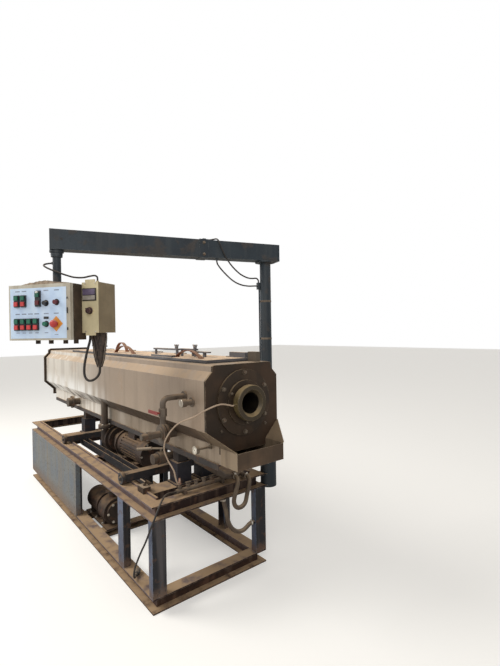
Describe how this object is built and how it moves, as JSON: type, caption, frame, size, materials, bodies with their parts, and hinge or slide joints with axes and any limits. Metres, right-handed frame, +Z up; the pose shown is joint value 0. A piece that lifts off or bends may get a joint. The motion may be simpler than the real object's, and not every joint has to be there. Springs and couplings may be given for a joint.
{
  "type": "vacuum sizing tank of a pipe extrusion line",
  "caption": "Long lidded tank on a steel frame that sizes and cools extruded plastic pipe, with a sizing sleeve, drip tray, pumps, valves and a control panel on a swinging boom.",
  "frame": {"origin": "on the floor, at the middle of the underside of the base frame's middle cross member", "axes": "+X along the line towards the pipe's inlet, +Y away from the operator, +Z up"},
  "size_m": [3.303, 1.4711, 2.038],
  "materials": {
    "frame_paint": "blue-grey paint, dusty and rusty",
    "post_paint": "blue paint, worn",
    "panel_paint": "pale blue-grey paint with streaks",
    "clamp_iron": "dark, greasy",
    "trolley_paint": "dark, dusty",
    "column_paint": "dark blue paint",
    "tank_steel": "stainless sheet, stained and dusty",
    "trough_steel": "stainless sheet",
    "end_plate": "dark, mottled, dusty edges",
    "seal_rubber": "black",
    "tray_steel": "stained olive-brown",
    "disc_steel": "dark, oiled",
    "sleeve_brass": "brass, oiled",
    "inner_steel": "stainless",
    "lid_metal": "slate rim, tan dust on top",
    "hinge_steel": "dull steel",
    "pipe_steel": "dull steel, dusty",
    "handle_red": "red",
    "gauge_metal": "pale dial in a steel case",
    "lever_steel": "steel with a grip",
    "pump_iron": "dark, greasy, dusty",
    "boom_paint": "dark slate paint, worn bands",
    "cabinet_paint": "beige-grey paint",
    "door_paint": "pale blue face, beige edge",
    "button_plastic": "green, red and black",
    "stop_plastic": "red on a yellow plate",
    "box_paint": "beige paint",
    "hose_pale": "pale hose",
    "hose_grey": "dusty grey",
    "cable_black": "black",
    "coupling_dark": "black, moulded, dusty"
  },
  "bodies": {
    "base": {"bottom_frame": "frame_paint", "posts": "post_paint", "top_frame": "frame_paint", "side_panel": "panel_paint", "rail_clamp": "clamp_iron", "roller_trolley": "trolley_paint", "column_sleeves": "column_paint", "tank_cradle": "column_paint", "tank_body": "tank_steel", "lower_trough": "trough_steel", "end_plates": "end_plate", "rubber_seals": "seal_rubber", "drip_tray": "tray_steel", "clamp_discs": "disc_steel", "sizing_sleeve": "sleeve_brass", "inner_fittings": "inner_steel", "lid_hinges": "hinge_steel", "tank_valves": "pipe_steel", "dial_gauge": "gauge_metal", "circulation_pump": "pump_iron", "pump_pipes": "pipe_steel", "water_manifold": "pipe_steel", "vacuum_pump": "pump_iron", "mast_socket": "boom_paint", "inlet_hose": "hose_pale", "overflow_hose": "hose_grey", "rail_hose": "hose_grey", "supply_hose": "cable_black", "hose_coupling": "coupling_dark"},
    "boom": {"mast": "boom_paint", "boom": "boom_paint", "upper_boom_cable": "cable_black", "lower_boom_cable": "cable_black"},
    "panel": {"drop_pipe": "boom_paint", "cabinet_body": "cabinet_paint", "meter_box": "box_paint", "meter_cable": "cable_black", "pipe_cable": "cable_black"},
    "cabinet_door": {"cabinet_door": "door_paint", "push_buttons": "button_plastic", "stop_button": "stop_plastic"},
    "near_lid": {"near_lid": "lid_metal"},
    "far_lid": {"far_lid": "lid_metal"},
    "red_handle": {"red_handle": "handle_red"},
    "drain_lever": {"drain_lever": "lever_steel"}
  },
  "joints": [
    {"name": "boom_swing", "type": "hinge", "parent": "base", "child": "boom", "pos_m": [1.376, 0.441, 0.6], "axis": [0, 0, 1], "range_deg": [-20, 60]},
    {"name": "panel_swivel", "type": "hinge", "parent": "boom", "child": "panel", "pos_m": [1.01755, -0.73143, 1.9], "axis": [0, 0, 1], "range_deg": [-60, 60]},
    {"name": "cabinet_door_hinge", "type": "hinge", "parent": "panel", "child": "cabinet_door", "pos_m": [0.86406, -0.9207, 1.437], "axis": [0, 0, 1], "range_deg": [-110, 0]},
    {"name": "near_lid_hinge", "type": "hinge", "parent": "base", "child": "near_lid", "pos_m": [1, 0.166, 1.314], "axis": [1, 0, 0], "range_deg": [-105, 0]},
    {"name": "far_lid_hinge", "type": "hinge", "parent": "base", "child": "far_lid", "pos_m": [-0.1, 0.166, 1.314], "axis": [1, 0, 0], "range_deg": [-105, 0]},
    {"name": "red_handle_turn", "type": "hinge", "parent": "base", "child": "red_handle", "pos_m": [1.487, -0.362, 1.064], "axis": [0, 1, 0], "range_deg": [-90, 0]},
    {"name": "drain_lever_turn", "type": "hinge", "parent": "base", "child": "drain_lever", "pos_m": [1.068, -0.164, 0.73], "axis": [0, 0, 1], "range_deg": [0, 90]}
  ]
}
